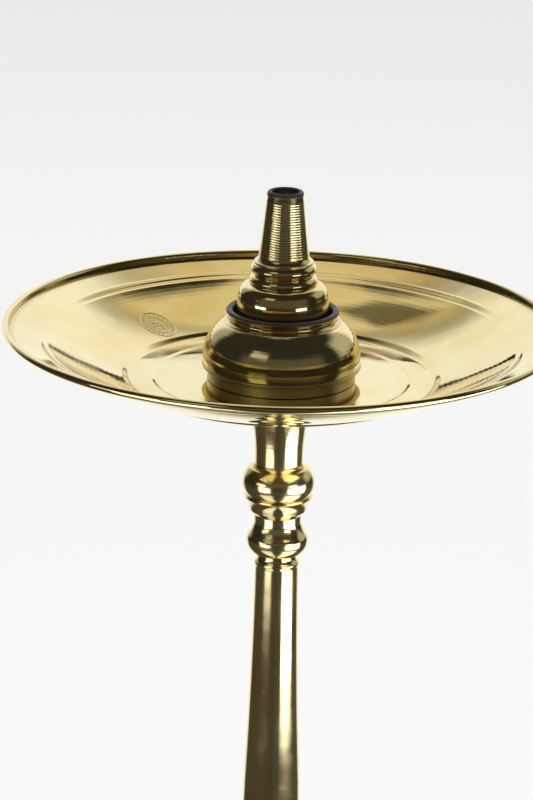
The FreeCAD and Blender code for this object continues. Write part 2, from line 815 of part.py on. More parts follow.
def vase():
    wall = d.glass_wall
    lip_low = down(d.mouth_drop + d.mouth_lip_height)
    turned("vase", [
        to(ZERO, ZERO),
        to(d.glass_foot_radius, ZERO),
        round_to(d.glass_heel_radius, d.glass_heel_level, d.glass_foot_round),
        round_to(d.glass_radius, d.glass_belly_level, d.glass_heel_round),
        round_to(d.glass_shoulder_radius, d.glass_shoulder_level, d.glass_round),
        cove_to(d.neck_radius, d.neck_low_level, d.neck_cove),
        to(d.neck_radius, lip_low),
        round_to(d.mouth_bore + wall, down(d.mouth_drop), d.mouth_lip_height),
        to(d.mouth_bore, down(d.mouth_drop)),
        to(d.mouth_bore, d.neck_low_level),
        round_to(d.glass_shoulder_radius - wall, d.glass_shoulder_level - wall * 0.5,
                 d.neck_cove + wall),
        cove_to(d.glass_radius - wall, d.glass_belly_level, d.glass_round - wall),
        cove_to(d.glass_heel_radius - wall, d.glass_heel_level + wall, d.glass_heel_round - wall),
        cove_to(d.glass_foot_radius, d.glass_floor, d.glass_foot_round - wall),
        to(ZERO, d.glass_floor),
    ])


for make in (bowl_port, neck_bead, neck_drum, port_bell, lip_cup, bulb_shell, bulb_base, head_bush,
             tray, tray_washer, tray_seat, stem_collar, stem_knop, saucer_ring, baluster, shaft,
             smoke_tube, shaft_ring, heart, heart_nut, heart_foot, hose_port, purge_valve,
             vase_cover, plug_cone, down_stem, vase_grommet, vase):
    make()

doc.recompute()
for item in doc.Objects:
    if {"Invalid", "Error"} & set(item.State):
        raise RuntimeError(f"{item.Label} did not build: {item.State}")
os.makedirs("parts", exist_ok=True)
for node in nodes:
    if not node.Shape.isValid() or node.Shape.Volume <= 0:
        raise RuntimeError(f"{node.Label} has no valid solid")
    node.Shape.exportStep(f"parts/{node.Label}.step")
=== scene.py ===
import math
from types import SimpleNamespace

import bpy
from mathutils import Matrix, Vector, noise


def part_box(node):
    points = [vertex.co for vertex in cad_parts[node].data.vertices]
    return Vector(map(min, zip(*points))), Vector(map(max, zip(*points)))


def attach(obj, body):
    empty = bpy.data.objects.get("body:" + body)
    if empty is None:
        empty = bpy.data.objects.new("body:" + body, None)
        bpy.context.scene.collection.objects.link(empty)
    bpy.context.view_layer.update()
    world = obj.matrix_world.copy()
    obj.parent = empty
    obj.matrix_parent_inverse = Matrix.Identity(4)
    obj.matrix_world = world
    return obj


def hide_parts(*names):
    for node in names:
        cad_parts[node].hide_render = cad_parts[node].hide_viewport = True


# Brass hookah: every turned piece is a fine lathed mesh that stands for its CAD node.
# Outlines are in millimetres, (radius, level) about the Z axis; meshes are in metres.

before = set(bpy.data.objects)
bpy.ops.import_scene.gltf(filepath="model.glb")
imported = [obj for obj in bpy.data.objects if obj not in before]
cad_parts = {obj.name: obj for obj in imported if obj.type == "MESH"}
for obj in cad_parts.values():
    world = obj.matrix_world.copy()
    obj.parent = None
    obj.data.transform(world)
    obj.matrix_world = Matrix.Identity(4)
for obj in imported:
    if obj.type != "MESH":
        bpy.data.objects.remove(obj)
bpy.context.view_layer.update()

MM = 0.001
TURNS = 192                     # facets round a turned piece
EDGE = 0.16                     # how far an edge is rounded over
GRAIN = 2.2                     # longest step along an outline
ARC_STEP = math.radians(5)
HOLLOW_SHADE_REACH = 0.7               # how far the painted shade reaches out of a hollow corner

d = SimpleNamespace(
    # the rim of the tray above the table: every other level is a rise or a drop from it
    rim_level=630.0,
    sheet=1.2,  # spun brass sheet
    play=0.3,  # gap round a piece that turns or lifts
    seat_gap=0.2,  # gap under the head, where it stands on the tray
    # smoke tube, from the stub inside the head down to the heart
    smoke_bore=4.8,
    tube_radius=6.0,
    stub_drop=1.0,
    # bowl port: the ridged, tapered nozzle on top, and its shank
    port_bore=5.6,
    port_rim_rise=56.6,
    port_rim_round=0.95,
    port_tip_radius=7.4,
    port_grip_top_rise=53.6,
    port_grip_top_radius=7.8,
    port_grip_low_rise=30.6,
    port_grip_low_radius=10.3,
    port_foot_rise=27.2,
    port_foot_radius=12.2,
    port_foot_edge=0.7,
    port_foot_cove=3.2,
    shank_radius=7.0,
    # bead, drum and bell under the bowl port
    bead_low_rise=22.3,
    bead_end_radius=12.0,
    bead_round=2.8,
    drum_low_rise=18.6,
    drum_radius=14.0,
    drum_round=2.6,
    bell_neck_radius=14.1,
    bell_shoulder_rise=14.6,
    bell_shoulder_radius=18.2,
    bell_shoulder_round=4.6,
    bell_radius=18.9,
    bell_belly_rise=9.7,
    bell_belly_round=14.0,
    bell_foot_rise=1.0,
    bell_foot_radius=18.4,
    # lip cup that the bell stands in
    lip_rise=6.7,
    lip_outer_radius=23.2,
    lip_inner_radius=20.5,
    lip_round=1.4,
    lip_cove=1.8,
    cup_floor=1.5,
    # squat bulb under the lip
    bulb_top_rise=2.5,
    bulb_top_radius=24.2,
    bulb_radius=32.4,
    bulb_belly_drop=12.0,
    bulb_upper_round=16.9,
    bulb_low_radius=32.0,
    bulb_low_drop=15.6,
    bulb_lower_round=16.0,
    base_radius=32.6,
    base_low_drop=16.9,
    head_foot_radius=30.5,
    base_round=0.7,
    bush_radius=10.5,
    # ash tray
    tray_radius=115.0,
    tray_bead=1.5,
    tray_hole=6.5,
    marli_outer_radius=112.0,
    marli_outer_drop=1.3,
    marli_inner_radius=101.0,
    marli_inner_drop=4.6,
    step_radius=98.6,
    step_drop=5.5,
    step_round=5.0,
    floor_outer_radius=96.2,
    floor_outer_drop=6.4,
    wall_round=105.0,
    wall_low_radius=65.6,
    wall_low_drop=20.0,
    crease_radius=63.9,
    crease_drop=21.1,
    crease_round=3.0,
    ring_outer_radius=62.0,
    ring_outer_drop=21.6,
    ring_inner_radius=53.6,
    well_radius=52.2,
    well_drop=22.0,
    # washer and trumpet-shaped seat under the tray
    washer_thickness=1.4,
    washer_radius=18.5,
    seat_radius=20.0,
    seat_edge=1.2,
    seat_cove=11.0,
    seat_low_radius=12.9,
    seat_low_drop=34.0,
    # slender collar
    collar_low_radius=10.1,
    collar_low_drop=58.6,
    collar_cove=107.0,
    # round bulb of the stem
    knop_neck_cove=3.2,
    knop_shoulder_radius=12.4,
    knop_shoulder_drop=60.6,
    knop_round=9.0,
    knop_low_radius=13.2,
    knop_low_drop=72.9,
    # saucer ring
    saucer_lip_radius=14.4,
    saucer_lip_drop=73.3,
    saucer_cove=8.0,
    saucer_waist_radius=12.4,
    saucer_waist_drop=77.4,
    saucer_bevel_radius=12.1,
    saucer_bevel_drop=79.0,
    saucer_low_radius=10.0,
    saucer_low_drop=81.3,
    # baluster
    baluster_neck_drop=84.6,
    baluster_cove=13.0,
    baluster_hip_radius=12.2,
    baluster_hip_drop=89.8,
    baluster_radius=13.0,
    baluster_belly_drop=92.6,
    baluster_upper_round=4.0,
    baluster_lower_round=6.6,
    baluster_low_radius=8.0,
    baluster_low_drop=99.2,
    # long trumpet-shaped shaft
    shaft_bore=7.4,
    shaft_lip_radius=9.5,
    shaft_lip_drop=102.2,
    shaft_lip_edge=0.6,
    shaft_lip_cove=3.6,
    shaft_top_radius=9.2,
    shaft_top_drop=104.0,
    shaft_upper_cove=2500.0,
    shaft_mid_radius=12.1,
    shaft_mid_drop=202.0,
    shaft_lower_cove=900.0,
    shaft_foot_radius=18.0,
    shaft_foot_drop=286.0,
    # ring, heart and foot under the shaft
    ring_round=3.7,
    ring_drop=293.0,
    heart_neck_radius=16.0,
    heart_radius=33.0,
    heart_belly_drop=318.0,
    heart_low_drop=345.0,
    heart_upper_round=26.9,
    heart_lower_round=29.9,
    foot_bore=15.2,
    foot_radius=17.0,
    foot_low_drop=352.0,
    foot_round=4.2,
    # ports on the heart, both tilted up from its centre
    port_tilt=60.0,
    port_centre_drop=320.0,
    port_inner_end=27.0,
    port_collar_low=33.0,
    hose_bore=6.5,
    hose_tube_radius=9.0,
    hose_tip_radius=8.3,
    hose_mouth=72.0,
    hose_collar_radius=13.0,
    hose_collar_height=4.6,
    hose_collar_round=2.5,
    hose_bead_height=5.0,
    hose_bead_round=2.8,
    # purge valve: body, ball and screw cap
    purge_hole=2.4,
    purge_seat=35.0,
    purge_chamber=4.2,
    purge_top=44.0,
    purge_radius=6.6,
    purge_collar_radius=10.0,
    purge_collar_height=3.0,
    ball_radius=3.5,
    cap_low=36.2,
    cap_top=46.6,
    cap_radius=9.4,
    cap_round=2.4,
    cap_vent=1.3,
    flute_radius=1.0,
    # cover, plug and rubber grommet at the mouth of the vase
    cover_neck_radius=20.2,
    cover_round=20.0,
    cover_shoulder_radius=33.0,
    cover_shoulder_drop=362.0,
    cover_cove=22.0,
    cover_radius=44.0,
    cover_low_drop=377.0,
    plug_top_radius=19.8,
    plug_low_radius=16.8,
    plug_low_drop=396.0,
    plug_low_bore=13.5,
    down_stem_radius=8.0,
    down_stem_drop=600.0,
    grommet_flange=2.6,
    grommet_low_drop=394.0,
    # glass vase
    mouth_drop=376.0,
    mouth_bore=23.0,
    mouth_lip_height=6.0,
    neck_radius=27.5,
    neck_low_level=222.0,
    neck_cove=117.0,
    glass_shoulder_radius=48.0,
    glass_shoulder_level=158.0,
    glass_round=180.0,
    glass_radius=77.0,
    glass_belly_level=60.0,
    glass_heel_round=185.0,
    glass_heel_radius=69.5,
    glass_heel_level=7.8,
    glass_foot_radius=59.0,
    glass_foot_round=11.0,
    glass_wall=4.0,
    glass_floor=9.0,
)
rim_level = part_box("tray")[1].z / MM - d.tray_bead
PORT_RIDGES = 22
RIDGE_BEND = 2.2                # bending radius of a ridge, in ridge widths
CAP_FLUTES = 12


def up(rise):
    """A level above the rim of the tray."""
    return rim_level + rise


def down(drop):
    """A level below the rim of the tray."""
    return rim_level - drop


# ---- outlines: anticlockwise with the material on the left, each entry the end of one side ----

def to(radius, level):
    """A straight side that ends at this radius and level."""
    return radius, level, None, 0


def round_to(radius, level, bend):
    """A convex side of this bending radius."""
    return radius, level, bend, 1


def cove_to(radius, level, bend):
    """A hollow side of this bending radius."""
    return radius, level, bend, -1


def arc_points(start, end, bend, turn):
    """Points after start, up to end, on an arc; turn is 1 to the left, -1 to the right."""
    chord = end - start
    left = Vector((-chord.y, chord.x)).normalized()
    centre = (start + end) / 2 + left * turn * math.sqrt(bend ** 2 - (chord.length / 2) ** 2)
    first = math.atan2(start.y - centre.y, start.x - centre.x)
    sweep = 2 * math.asin(chord.length / 2 / bend) * turn
    steps = max(2, math.ceil(abs(sweep) / ARC_STEP), math.ceil(abs(sweep) * bend / GRAIN))
    angles = [first + sweep * step / steps for step in range(1, steps)]
    return [centre + bend * Vector((math.cos(angle), math.sin(angle))) for angle in angles] + [end]


def trace(outline):
    """The outline's sides as lists of points, each beginning at the corner where it starts."""
    corners = [Vector(entry[:2]) for entry in outline]
    sides = []
    for index, (radius, level, bend, turn) in enumerate(outline):
        start, end = corners[index - 1], corners[index]
        rest = [end] if bend is None else arc_points(start, end, bend, turn)
        sides.append([start] + rest)
    return sides


def rounded(before, after):
    """Points that round over the corner between two sides, which are shortened for them."""
    corner = after[0]
    into, out = corner - before[-2], after[1] - corner
    turn = into.angle_signed(out) if into.length and out.length else 0.0
    if abs(turn) < math.radians(14):
        return [corner]
    cut = min(EDGE, into.length * 0.45, out.length * 0.45)
    start, end = corner - into.normalized() * cut, corner + out.normalized() * cut
    points = []
    for step in range(5):
        share = step / 4
        points.append(start.lerp(corner, share).lerp(corner.lerp(end, share), share))
    return points


def spaced(start, end):
    """Points from start to end, with one close to each end so that shading stays flat."""
    length = (end - start).length
    near = EDGE * 1.5
    if length < near * 3:
        return []
    steps = max(1, math.ceil((length - 2 * near) / GRAIN))
    return [start.lerp(end, (near + (length - 2 * near) * step / steps) / length)
            for step in range(steps + 1)]


def fine_outline(outline):
    """The outline as fine closed points, and the hollow corners in it."""
    sides = trace(outline)
    points, hollows = [], []
    for index, side in enumerate(sides):
        before = sides[index - 1]
        into, out = side[0] - before[-2], side[1] - side[0]
        if into.cross(out) < -0.5 * into.length * out.length:
            hollows.append(side[0])
        turned = rounded(before, side)
        following = sides[(index + 1) % len(sides)]
        stop = rounded(side, following)[0]
        points += turned
        last = turned[-1]
        for target in side[1:-1] + [stop]:
            points += spaced(last, target)
            if target is not stop:
                points.append(target)
            last = target
    return points, hollows


def lathe(label, outline, material, body, nodes=None, warp=None, turns=TURNS, place=None):
    """A turned piece: the outline spun about Z and put in its place, for its CAD nodes."""
    points, hollows = fine_outline(outline)
    verts, rings, hollow_shade = [], [], []
    for point in points:
        # painted shade: how close a point lies to a hollow corner, where the brass is painted
        # darker as shade
        hollow_shade_depth = max((math.exp(-(point - corner).length / HOLLOW_SHADE_REACH) for corner in hollows),
                   default=0.0)
        on_axis = point.x < 1e-5
        count = 1 if on_axis else turns
        rings.append((len(verts), on_axis))
        for step in range(count):
            angle = math.tau * step / turns
            place_at = Vector((point.x * math.cos(angle), point.x * math.sin(angle), point.y))
            verts.append((warp(place_at) if warp else place_at) * MM)
            hollow_shade.append(hollow_shade_depth)
    faces = []
    for index, (ring, on_axis) in enumerate(rings):
        above, above_on_axis = rings[(index + 1) % len(rings)]
        if on_axis and above_on_axis:
            continue
        for step in range(turns):
            beside = (step + 1) % turns
            if on_axis:
                faces.append((ring, above + beside, above + step))
            elif above_on_axis:
                faces.append((ring + step, ring + beside, above))
            else:
                faces.append((ring + step, ring + beside, above + beside, above + step))
    name = f"{label}_turned"
    mesh = bpy.data.meshes.new(name)
    mesh.from_pydata(verts, [], faces)
    if place is not None:
        mesh.transform(place)
    hollow_shade_layer = mesh.attributes.new("hollow_shade", "FLOAT", "POINT")
    hollow_shade_layer.data.foreach_set("value", hollow_shade)
    mesh.shade_smooth()
    add_piece(name, mesh, material, body, nodes or (label,))


def ring(label, bore, radius, low, high, material, body, place=None):
    """A plain turned ring or tube."""
    lathe(label, [to(bore, low), to(radius, low), to(radius, high), to(bore, high)],
          material, body, place=place)


def add_piece(name, mesh, material, body, nodes=()):
    """Put a mesh in the scene, riding on a body and standing for CAD nodes if there are any."""
    mesh.materials.append(material)
    piece = bpy.data.objects.new(name, mesh)
    bpy.context.scene.collection.objects.link(piece)
    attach(piece, body)
    if nodes:
        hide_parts(*nodes)


# ---- materials ----


class Nodes:
    """A material's node tree with short ways to add and join its nodes."""

    def __init__(self, name):
        self.material = bpy.data.materials.new(name)
        self.material.use_nodes = True
        self.tree = self.material.node_tree
        self.shader = self.tree.nodes["Principled BSDF"]
        self.place = self.add("ShaderNodeTexCoord").outputs["Object"]

    def add(self, kind, **settings):
        node = self.tree.nodes.new(kind)
        for key, value in settings.items():
            setattr(node, key, value)
        return node

    def join(self, output, socket):
        self.tree.links.new(output, socket)

    def fill(self, node, **values):
        """Set sockets by name, to a value or to another node's output."""
        for key, value in values.items():
            socket = node.inputs[key.replace("_", " ")]
            if isinstance(value, bpy.types.NodeSocket):
                self.join(value, socket)
            else:
                socket.default_value = value
        return node

    def noise(self, scale, detail=3.0, stretch=(1, 1, 1), roughness=0.5):
        """Noise from 0 to 1 over the object's own space."""
        mapping = self.add("ShaderNodeMapping")
        mapping.inputs["Scale"].default_value = stretch
        self.join(self.place, mapping.inputs["Vector"])
        node = self.add("ShaderNodeTexNoise")
        self.fill(node, Vector=mapping.outputs["Vector"], Scale=scale, Detail=detail,
                  Roughness=roughness)
        return node.outputs["Fac"]

    def ramp(self, value, low, high, to_low=0.0, to_high=1.0):
        """A value eased from one range to another."""
        node = self.add("ShaderNodeMapRange", interpolation_type="SMOOTHSTEP")
        self.fill(node, Value=value)
        for key, number in (("From Min", low), ("From Max", high),
                            ("To Min", to_low), ("To Max", to_high)):
            node.inputs[key].default_value = number
        return node.outputs["Result"]

    def maths(self, operation, first, second=0.0):
        node = self.add("ShaderNodeMath", operation=operation)
        for socket, value in zip(node.inputs, (first, second)):
            if isinstance(value, bpy.types.NodeSocket):
                self.join(value, socket)
            else:
                socket.default_value = value
        return node.outputs["Value"]

    def mix(self, share, first, second):
        """A colour between two colours, each a value or an output."""
        node = self.add("ShaderNodeMix", data_type="RGBA")
        sockets = node.inputs[0], node.inputs[6], node.inputs[7]
        for socket, value in zip(sockets, (share, first, second)):
            if isinstance(value, bpy.types.NodeSocket):
                self.join(value, socket)
            else:
                socket.default_value = value
        return node.outputs[2]

    def bump(self, height, depth, normal=None):
        """A bump of that depth in metres, on top of another normal if there is one."""
        node = self.add("ShaderNodeBump")
        node.inputs["Distance"].default_value = depth
        self.join(height, node.inputs["Height"])
        if normal is not None:
            self.join(normal, node.inputs["Normal"])
        return node.outputs["Normal"]

    def hollow_shade_depth(self):
        """How deep in a hollow corner a point is, from 0 to 1."""
        return self.add("ShaderNodeAttribute", attribute_name="hollow_shade").outputs["Fac"]

    def radius_and_level(self):
        split = self.add("ShaderNodeSeparateXYZ")
        self.join(self.place, split.inputs["Vector"])
        across = self.maths("MULTIPLY", split.outputs["X"], split.outputs["X"])
        along = self.maths("MULTIPLY", split.outputs["Y"], split.outputs["Y"])
        return self.maths("SQRT", self.maths("ADD", across, along)), split.outputs["Z"]

    def above(self, level, bore=0.0):
        """1 above a level or inside a bore, both in millimetres, and 0 elsewhere."""
        radius, height = self.radius_and_level()
        return self.maths("MAXIMUM", self.ramp(height, (level - 0.25) * MM, (level + 0.25) * MM),
                          self.ramp(radius, (bore - 0.1) * MM, (bore + 0.3) * MM, 1.0, 0.0))

    def lathe_marks(self, scale):
        """Fine rings round the axis, which vary with radius and level only."""
        radius, height = self.radius_and_level()
        rings = self.add("ShaderNodeCombineXYZ")
        self.fill(rings, X=radius, Z=height)
        node = self.add("ShaderNodeTexNoise")
        self.fill(node, Vector=rings.outputs["Vector"], Scale=scale, Detail=2.0)
        return node.outputs["Fac"]


BRASS_BRIGHT = (0.87, 0.755, 0.46, 1)
BRASS_WARM = (0.83, 0.66, 0.33, 1)
BRASS_STAIN = (0.36, 0.25, 0.12, 1)
# colour of the painted dark reflection on a top round and of the painted shade in a bore
PAINTED_DARK_COLOUR = (0.085, 0.078, 0.080, 1)


def brass(name, shine=0.05, dull=0.14, stains=0.25, wave=0.00006, rings=0.0000035,
          specks=0.5, warm=BRASS_WARM, painted_dark=None):
    """Polished brass: warm clouds, lathe rings, slight waves, specks, and painted shade in hollow
    corners, which are rougher too.

    black is a level above which the top is painted dark and dull as a painted dark reflection, and
    the radius of a bore painted dark as painted shade.
    """
    nodes = Nodes(name)
    clouds = nodes.ramp(nodes.noise(38.0, 4.0), 0.35, 0.72)
    stain = nodes.ramp(nodes.noise(120.0, 5.0, roughness=0.62), 0.60, 0.78, 0.0, stains)
    speck = nodes.ramp(nodes.noise(900.0, 2.0), 0.735, 0.77, 0.0, specks)
    # painted shade: a darker brown close to hollow corners, mixed with the real stains and specks;
    # it is rougher there too
    hollow_shade_depth = nodes.maths("MULTIPLY", nodes.hollow_shade_depth(), 0.75)
    stains_and_shade = nodes.maths("MAXIMUM", nodes.maths("MAXIMUM", stain, speck), hollow_shade_depth)
    colour = nodes.mix(stains_and_shade, nodes.mix(clouds, BRASS_BRIGHT, warm), BRASS_STAIN)
    polish = nodes.ramp(nodes.noise(70.0, 5.0), 0.3, 0.7, shine, dull)
    rough = nodes.maths("ADD", polish, nodes.maths("MULTIPLY", stains_and_shade, 0.22))
    uneven = nodes.bump(nodes.noise(75.0, 1.0), wave)
    marks = nodes.bump(nodes.lathe_marks(1500.0), rings, uneven)
    pits = nodes.bump(speck, -0.00002, marks)
    nodes.fill(nodes.shader, Base_Color=colour, Metallic=1.0, Roughness=rough, Normal=pits)
    if painted_dark is not None:
        # painted shade: the top round and the bore are painted dark, less metallic and rougher
        mask = nodes.above(*painted_dark)
        nodes.fill(nodes.shader, Base_Color=nodes.mix(mask, colour, PAINTED_DARK_COLOUR),
                   Metallic=nodes.maths("SUBTRACT", 1.0, nodes.maths("MULTIPLY", mask, 0.5)),
                   Roughness=nodes.maths("ADD", rough, nodes.maths("MULTIPLY", mask, 0.34)))
    return nodes.material


def drawn_tube():
    nodes = Nodes("drawn_tube")
    streaks = nodes.noise(500.0, 4.0, stretch=(1, 1, 0.03))
    colour = nodes.mix(streaks, (0.62, 0.61, 0.59, 1), (0.74, 0.73, 0.70, 1))
    nodes.fill(nodes.shader, Base_Color=colour, Metallic=1.0,
               Roughness=nodes.ramp(streaks, 0.3, 0.7, 0.2, 0.34),
               Normal=nodes.bump(streaks, 0.00001))
    return nodes.material


def ball():
    nodes = Nodes("ball")
    smudge = nodes.noise(300.0, 3.0)
    colour = nodes.mix(smudge, (0.72, 0.72, 0.73, 1), (0.82, 0.82, 0.82, 1))
    nodes.fill(nodes.shader, Base_Color=colour, Metallic=1.0,
               Roughness=nodes.ramp(smudge, 0.3, 0.7, 0.08, 0.2))
    return nodes.material


def soft_matte(name, dark, pale, rough_low, rough_high, grain):
    """Rubber or fibre: a matte surface with a fine grain."""
    nodes = Nodes(name)
    cloud = nodes.noise(grain, 5.0)
    nodes.fill(nodes.shader, Base_Color=nodes.mix(cloud, dark, pale),
               Roughness=nodes.ramp(cloud, 0.3, 0.7, rough_low, rough_high),
               Normal=nodes.bump(nodes.noise(grain * 4, 3.0), 0.00004))
    return nodes.material


def glass():
    """Clear blown glass with a slight unevenness."""
    nodes = Nodes("glass")
    nodes.shader.inputs["Transmission Weight"].default_value = 1.0
    nodes.shader.inputs["IOR"].default_value = 1.47
    nodes.shader.inputs["Roughness"].default_value = 0.015
    tint = nodes.mix(nodes.noise(14.0, 2.0), (0.93, 0.97, 0.96, 1), (0.97, 0.99, 0.985, 1))
    nodes.fill(nodes.shader, Base_Color=tint, Normal=nodes.bump(nodes.noise(26.0, 1.0), 0.0002))
    return nodes.material


polished = brass("brass")
stem_polish = brass("stem_brass", shine=0.11, dull=0.19, stains=0.35)
foot_polish = brass("foot_brass", shine=0.30, dull=0.42, stains=0.3, warm=(0.80, 0.68, 0.40, 1))
# the nozzle's rim top gets a painted dark reflection and its bore gets painted shade
ridged = brass("ridged_brass", shine=0.11, dull=0.2, stains=0.4,
               painted_dark=(up(d.port_rim_rise) - 1.0, d.port_bore))
spun = brass("spun_brass", shine=0.035, dull=0.10, stains=0.10, wave=0.00009, rings=0.000002,
             specks=0.8)
stamped = brass("stamp_brass", shine=0.2, dull=0.32, stains=0.6)
# real tarnish, with a painted dark reflection on the lip ring's top and painted shade in the gap
# inside it
tarnish_and_painted_dark = brass("dark_brass", shine=0.06, dull=0.14, stains=0.9, warm=(0.52, 0.33, 0.12, 1),
                  painted_dark=(up(d.lip_rise) - 0.1, d.lip_inner_radius))
tube_metal = drawn_tube()
ball_metal = ball()
fibre = soft_matte("fibre", (0.030, 0.022, 0.018, 1), (0.060, 0.045, 0.035, 1),
                   0.7, 0.9, 900.0)
rubber = soft_matte("rubber", (0.016, 0.016, 0.017, 1), (0.032, 0.032, 0.034, 1),
                    0.5, 0.72, 500.0)
vase_glass = glass()


# ---- head: bowl port, bead, drum, bell, lip cup, bulb and its bush ----

def bowl_port():
    rise = d.port_grip_top_rise - d.port_grip_low_rise
    spread = d.port_grip_low_radius - d.port_grip_top_radius
    step = rise / PORT_RIDGES
    ridges = []
    for index in range(PORT_RIDGES):
        share = (index + 1) / PORT_RIDGES
        ridges.append(round_to(d.port_grip_low_radius - spread * share,
                               up(d.port_grip_low_rise + rise * share), step * RIDGE_BEND))
    lathe("bowl_port", [
        to(d.port_bore, up(d.bell_foot_rise)),
        to(d.shank_radius, up(d.bell_foot_rise)),
        to(d.shank_radius, up(d.port_foot_rise)),
        to(d.port_foot_radius, up(d.port_foot_rise)),
        to(d.port_foot_radius, up(d.port_foot_rise + d.port_foot_edge)),
        cove_to(d.port_grip_low_radius, up(d.port_grip_low_rise), d.port_foot_cove),
        *ridges,
        to(d.port_tip_radius, up(d.port_rim_rise)),
        round_to(d.port_bore, up(d.port_rim_rise), d.port_rim_round),
    ], ridged, "head")


def neck_bead():
    lathe("neck_bead", [
        to(d.shank_radius, up(d.bead_low_rise)),
        to(d.bead_end_radius, up(d.bead_low_rise)),
        round_to(d.bead_end_radius, up(d.port_foot_rise), d.bead_round),
        to(d.shank_radius, up(d.port_foot_rise)),
    ], polished, "head")


def neck_drum():
    lathe("neck_drum", [
        to(d.shank_radius, up(d.drum_low_rise)),
        to(d.drum_radius, up(d.drum_low_rise)),
        to(d.drum_radius, up(d.drum_low_rise) + d.drum_round * 0.6),
        round_to(d.bead_end_radius, up(d.bead_low_rise), d.drum_round),
        to(d.shank_radius, up(d.bead_low_rise)),
    ], polished, "head")


def port_bell():
    inner_top = up(d.drum_low_rise - d.sheet)
    lathe("port_bell", [
        to(d.bell_foot_radius - d.sheet, up(d.bell_foot_rise)),
        to(d.bell_foot_radius, up(d.bell_foot_rise)),
        to(d.bell_radius, up(d.bell_belly_rise)),
        round_to(d.bell_shoulder_radius, up(d.bell_shoulder_rise), d.bell_belly_round),
        round_to(d.bell_neck_radius, up(d.drum_low_rise), d.bell_shoulder_round),
        to(d.shank_radius, up(d.drum_low_rise)),
        to(d.shank_radius, inner_top),
        to(d.bell_neck_radius - d.sheet * 0.6, inner_top),
        to(d.bell_shoulder_radius - d.sheet, up(d.bell_shoulder_rise - d.sheet * 0.6)),
        to(d.bell_radius - d.sheet, up(d.bell_belly_rise)),
    ], polished, "head")


def lip_cup():
    floor = up(d.bell_foot_rise)
    lathe("lip_cup", [
        to(d.port_bore, floor - d.cup_floor),
        to(d.bulb_top_radius - d.sheet, floor - d.cup_floor),
        to(d.bulb_top_radius, up(d.bulb_top_rise)),
        cove_to(d.lip_outer_radius - d.sheet * 0.5, up(d.lip_rise - d.sheet), d.lip_cove),
        round_to(d.lip_outer_radius, up(d.lip_rise), d.lip_round),
        round_to(d.lip_inner_radius, up(d.lip_rise), d.lip_round),
        to(d.lip_inner_radius, floor),
        to(d.port_bore, floor),
    ], tarnish_and_painted_dark, "head")


def bulb_shell():
    lathe("bulb_shell", [
        cove_to(d.bulb_low_radius - d.sheet, down(d.bulb_low_drop), d.bulb_lower_round),
        to(d.bulb_low_radius, down(d.bulb_low_drop)),
        round_to(d.bulb_radius, down(d.bulb_belly_drop), d.bulb_lower_round),
        round_to(d.bulb_top_radius, up(d.bulb_top_rise), d.bulb_upper_round),
        to(d.bulb_top_radius - d.sheet, up(d.bell_foot_rise) - d.cup_floor),
        cove_to(d.bulb_radius - d.sheet, down(d.bulb_belly_drop), d.bulb_upper_round - d.sheet),
    ], polished, "head")


def bulb_base():
    floor = down(d.well_drop - d.seat_gap)
    lathe("bulb_base", [
        to(d.tray_hole, floor),
        to(d.head_foot_radius, floor),
        to(d.head_foot_radius, down(d.base_low_drop)),
        to(d.base_radius - d.base_round * 0.5, down(d.base_low_drop)),
        round_to(d.base_radius - d.base_round * 0.5, down(d.bulb_low_drop), d.base_round),
        to(d.tray_hole, down(d.bulb_low_drop)),
    ], foot_polish, "head")


def head_bush():
    ring("head_bush", d.tube_radius + d.play, d.bush_radius, down(d.bulb_low_drop),
         up(d.bell_foot_rise) - d.cup_floor, polished, "head")


# ---- ash tray ----

# Waves in the sheet: height, length, and a plane of the noise to take them from.
WAVES = [(0.30, 46.0, 3.1), (0.035, 17.0, 7.7)]
WAVES_BEGIN, WAVES_FULL = 50.0, 70.0      # radii between which they rise
WAVES_FADE = 12.0                         # how far inside the rim they begin to fade


def hand_spun(point):
    """Spun sheet is a little uneven: low waves on the wall that fade at the floor and the rim."""
    radius = math.hypot(point.x, point.y)
    rise = min(1.0, max(0.0, (radius - WAVES_BEGIN) / (WAVES_FULL - WAVES_BEGIN)))
    fade = min(1.0, max(0.0, (d.tray_radius - radius) / WAVES_FADE))
    height = sum(size * noise.noise(Vector((point.x / length, point.y / length, plane)))
                 for size, length, plane in WAVES)
    return point + Vector((0, 0, rise * fade * height))


